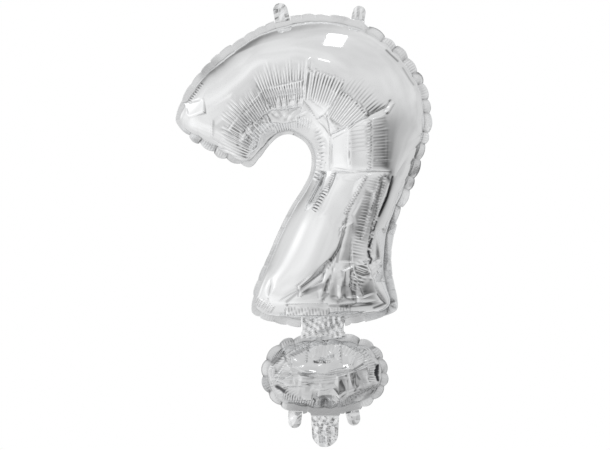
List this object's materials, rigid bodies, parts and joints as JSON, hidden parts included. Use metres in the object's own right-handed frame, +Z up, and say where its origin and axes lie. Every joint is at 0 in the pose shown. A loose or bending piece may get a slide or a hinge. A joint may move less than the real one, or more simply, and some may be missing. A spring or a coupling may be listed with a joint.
{
  "type": "question mark foil balloon",
  "caption": "Inflated metallic foil balloon shaped as a question mark: a hooked stroke over an oval dot, with folding hanging tabs and a valve tail.",
  "frame": {"origin": "on the seam plane, midway between the two top hanging tabs, where the ribbon that holds the balloon up acts", "axes": "+Z up, along the letter's height; the letter's face looks towards -Y, square to the seam plane; +X to the reader's right"},
  "size_m": [0.5551, 0.212, 0.9542],
  "materials": {
    "panel_foil": "mirror bright metallised film",
    "margin_foil": "heat sealed metallised film, slightly dulled",
    "neck_foil": "crinkled metallised film",
    "tab_foil": "creased metallised film",
    "tail_foil": "crinkled metallised film"
  },
  "bodies": {
    "hook": {"hook_front_panel": "panel_foil", "hook_back_panel": "panel_foil", "hook_seam_margin": "margin_foil", "neck_upper": "neck_foil"},
    "dot": {"dot_front_panel": "panel_foil", "dot_back_panel": "panel_foil", "dot_seam_margin": "margin_foil", "neck_lower": "neck_foil"},
    "top_left_tab": {"tab_top_left": "tab_foil"},
    "top_right_tab": {"tab_top_right": "tab_foil"},
    "bottom_left_tab": {"tab_bottom_left": "tab_foil"},
    "bottom_right_tab": {"tab_bottom_right": "tab_foil"},
    "tail": {"valve_tail": "tail_foil"}
  },
  "joints": [
    {"name": "dot_swing", "type": "hinge", "parent": "hook", "child": "dot", "pos_m": [0.0075, 0, -0.673], "axis": [1, 0, 0], "range_deg": [-60, 60], "stiffness_Nm_per_rad": 0.02},
    {"name": "top_left_tab_fold", "type": "hinge", "parent": "hook", "child": "top_left_tab", "pos_m": [-0.079, 0, -0.017], "axis": [0.9781, 0, 0.2079], "range_deg": [-80, 80], "stiffness_Nm_per_rad": 0.002},
    {"name": "top_right_tab_fold", "type": "hinge", "parent": "hook", "child": "top_right_tab", "pos_m": [0.082, 0, -0.013], "axis": [0.9781, 0, -0.2079], "range_deg": [-80, 80], "stiffness_Nm_per_rad": 0.002},
    {"name": "bottom_left_tab_fold", "type": "hinge", "parent": "dot", "child": "bottom_left_tab", "pos_m": [-0.052, 0, -0.853], "axis": [0.9986, 0, -0.0523], "range_deg": [-80, 80], "stiffness_Nm_per_rad": 0.002},
    {"name": "bottom_right_tab_fold", "type": "hinge", "parent": "dot", "child": "bottom_right_tab", "pos_m": [0.07, 0, -0.853], "axis": [0.9781, 0, 0.2079], "range_deg": [-80, 80], "stiffness_Nm_per_rad": 0.002},
    {"name": "tail_fold", "type": "hinge", "parent": "dot", "child": "tail", "pos_m": [0.012, 0, -0.863], "axis": [1, 0, 0], "range_deg": [-80, 80], "stiffness_Nm_per_rad": 0.002}
  ]
}
